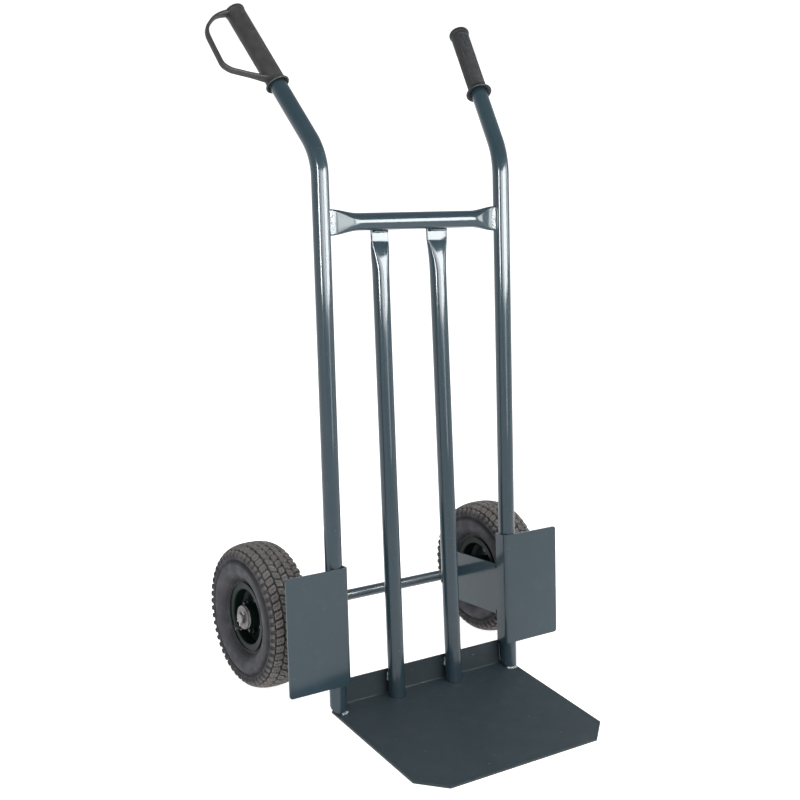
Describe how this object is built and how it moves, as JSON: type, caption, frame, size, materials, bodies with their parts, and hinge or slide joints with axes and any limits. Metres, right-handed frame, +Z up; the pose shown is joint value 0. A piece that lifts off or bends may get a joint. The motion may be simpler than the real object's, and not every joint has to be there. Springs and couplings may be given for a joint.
{
  "type": "hand truck",
  "caption": "Hand truck: leaning frame of bent and pressed steel tubes, rubber grips with a knuckle strap, folded toe plate, wheel guards and air-filled wheels on a through axle.",
  "frame": {"origin": "on the floor, midway between the rails, on the underside of the toe plate in line with the rails' centre lines", "axes": "+Z up, -Y towards the front where the toe plate lies, +X to the right of somebody who looks at the truck's front, which is the side of the plain grip"},
  "size_m": [0.6114, 0.682, 1.1765],
  "materials": {
    "frame_paint": "gloss anthracite enamel on welded steel tube",
    "plate_paint": "satin anthracite enamel, dusty",
    "axle_paint": "gloss anthracite enamel on steel bar",
    "zinc": "zinc plated, dull bright",
    "pin_steel": "bright zinc wire",
    "grip_rubber": "matt black moulded grip",
    "tyre_rubber": "matt rubber with a dusty tread",
    "tube_rubber": "smooth butyl",
    "rim_paint": "gloss black green enamel on pressed steel",
    "bush_nylon": "natural nylon",
    "valve_rubber": "moulded rubber"
  },
  "bodies": {
    "frame": {"top_crossbar": "frame_paint", "toe_plate": "plate_paint", "axle": "axle_paint", "left_rail_tube": "frame_paint", "left_middle_tube": "frame_paint", "left_guard_bracket": "frame_paint", "left_axle_spacer": "axle_paint", "left_inner_washer": "zinc", "left_outer_washer": "zinc", "left_split_pin": "pin_steel", "left_grip": "grip_rubber", "right_rail_tube": "frame_paint", "right_middle_tube": "frame_paint", "right_guard_bracket": "frame_paint", "right_axle_spacer": "axle_paint", "right_inner_washer": "zinc", "right_outer_washer": "zinc", "right_split_pin": "pin_steel", "right_grip": "grip_rubber"},
    "left_wheel": {"left_tyre": "tyre_rubber", "left_inner_tube": "tube_rubber", "left_rim_outer": "rim_paint", "left_rim_inner": "rim_paint", "left_hub": "rim_paint", "left_bush_outer": "bush_nylon", "left_bush_inner": "bush_nylon", "left_rim_bolt_1": "zinc", "left_rim_nut_1": "zinc", "left_rim_bolt_2": "zinc", "left_rim_nut_2": "zinc", "left_rim_bolt_3": "zinc", "left_rim_nut_3": "zinc", "left_rim_bolt_4": "zinc", "left_rim_nut_4": "zinc", "left_valve_stem": "valve_rubber", "left_valve_cap": "valve_rubber"},
    "right_wheel": {"right_tyre": "tyre_rubber", "right_inner_tube": "tube_rubber", "right_rim_outer": "rim_paint", "right_rim_inner": "rim_paint", "right_hub": "rim_paint", "right_bush_outer": "bush_nylon", "right_bush_inner": "bush_nylon", "right_rim_bolt_1": "zinc", "right_rim_nut_1": "zinc", "right_rim_bolt_2": "zinc", "right_rim_nut_2": "zinc", "right_rim_bolt_3": "zinc", "right_rim_nut_3": "zinc", "right_rim_bolt_4": "zinc", "right_rim_nut_4": "zinc", "right_valve_stem": "valve_rubber", "right_valve_cap": "valve_rubber"}
  },
  "joints": [
    {"name": "left_wheel_spin", "type": "hinge", "parent": "frame", "child": "left_wheel", "pos_m": [-0.2575, 0.171, 0.13], "axis": [1, 0, 0], "continuous": true},
    {"name": "right_wheel_spin", "type": "hinge", "parent": "frame", "child": "right_wheel", "pos_m": [0.2575, 0.171, 0.13], "axis": [1, 0, 0], "continuous": true}
  ]
}
